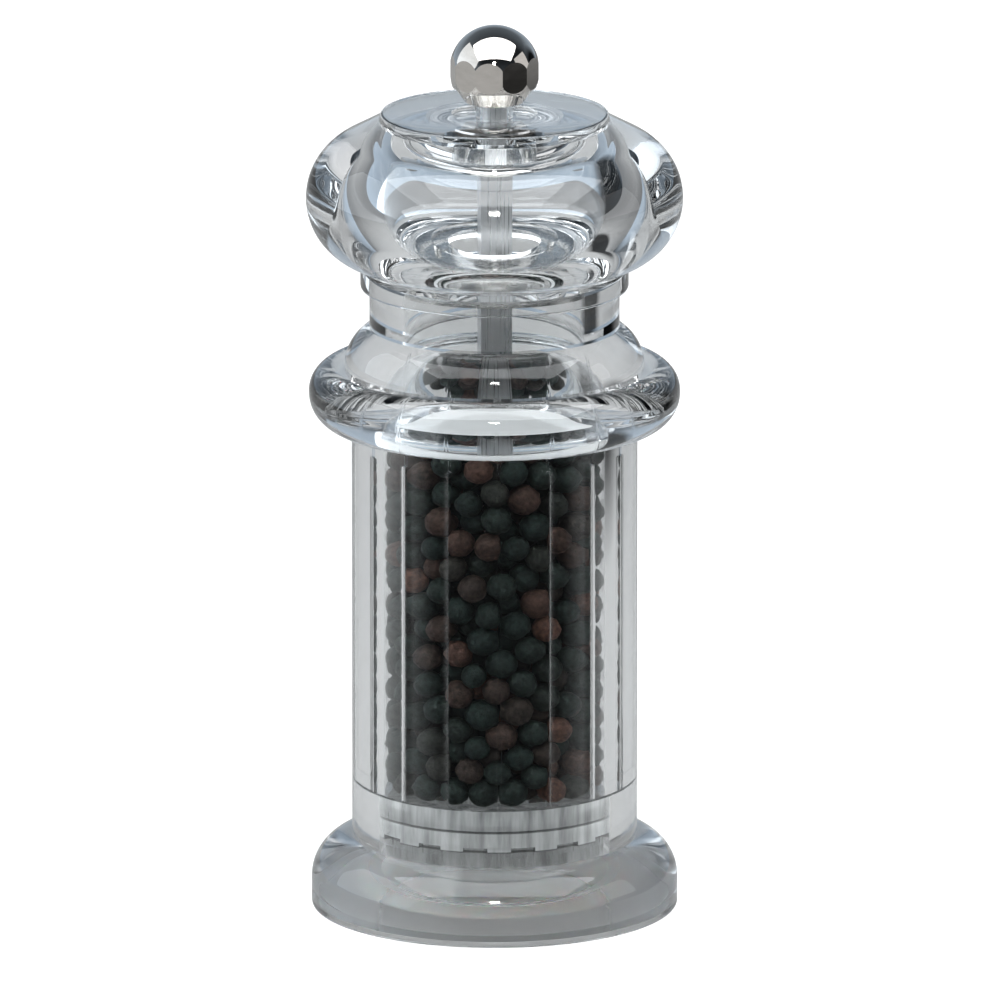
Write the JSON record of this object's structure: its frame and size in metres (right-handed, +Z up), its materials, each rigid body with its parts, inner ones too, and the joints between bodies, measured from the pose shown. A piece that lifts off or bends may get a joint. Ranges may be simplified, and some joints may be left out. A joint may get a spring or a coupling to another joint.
{
  "type": "pepper mill",
  "caption": "Clear hand-turned pepper mill: a turning bulb head on a square spindle, an adjustable conical grinder in the foot, and a faceted metal knob that sets the grind.",
  "frame": {"origin": "centre of the foot's resting face, on the mill's axis", "axes": "+Z up along the spindle, towards the knob; +X to the right of the front view"},
  "size_m": [0.0584, 0.0584, 0.14],
  "materials": {
    "clear_acrylic": "polished, water clear",
    "clear_mechanism": "moulded, clear with a slight haze",
    "white_ceramic": "fine matt ceramic",
    "natural_nylon": "natural nylon, slightly milky",
    "bright_steel": "turned and drawn stainless steel",
    "polished_bar": "bright drawn square bar",
    "knob_metal": "polished plated metal",
    "peppercorns": "dry wrinkled black peppercorns, some reddish brown"
  },
  "bodies": {
    "mill_body": {"body_shell": "clear_acrylic", "bearing_bridge": "clear_mechanism", "ring_carrier": "clear_mechanism", "grinding_ring": "white_ceramic", "retaining_ring": "natural_nylon", "peppercorn_fill": "peppercorns"},
    "drive_bush": {"spindle_bush": "natural_nylon", "thrust_washer": "bright_steel", "grinder_spring": "bright_steel"},
    "grinder_spindle": {"spindle": "polished_bar", "grinding_rotor": "white_ceramic", "rotor_washer": "bright_steel", "rotor_screw": "bright_steel"},
    "head": {"head_shell": "clear_acrylic", "spigot_ring": "clear_mechanism", "head_top_disc": "clear_acrylic", "drive_plate": "bright_steel", "drive_plate_screws": "bright_steel"},
    "knob": {"adjusting_knob": "knob_metal", "knob_washer": "natural_nylon"}
  },
  "joints": [
    {"name": "head_turn", "type": "hinge", "parent": "mill_body", "child": "drive_bush", "pos_m": [0, 0, 0.0175], "axis": [0, 0, 1], "continuous": true},
    {"name": "grind_adjust", "type": "slide", "parent": "drive_bush", "child": "grinder_spindle", "axis": [0, 0, 1], "range_m": [-0.0007, 0.0007], "deforming": ["grinder_spring"]},
    {"name": "head_lift", "type": "slide", "parent": "drive_bush", "child": "head", "axis": [0, 0, 1], "range_m": [0, 0.06]},
    {"name": "knob_turn", "type": "hinge", "parent": "head", "child": "knob", "pos_m": [0, 0, 0.133], "axis": [0, 0, 1], "range_deg": [-360, 360]}
  ],
  "couplings": [
    {"joint": "knob_turn", "follows": "grind_adjust", "rad_per_m": -8975.9}
  ]
}
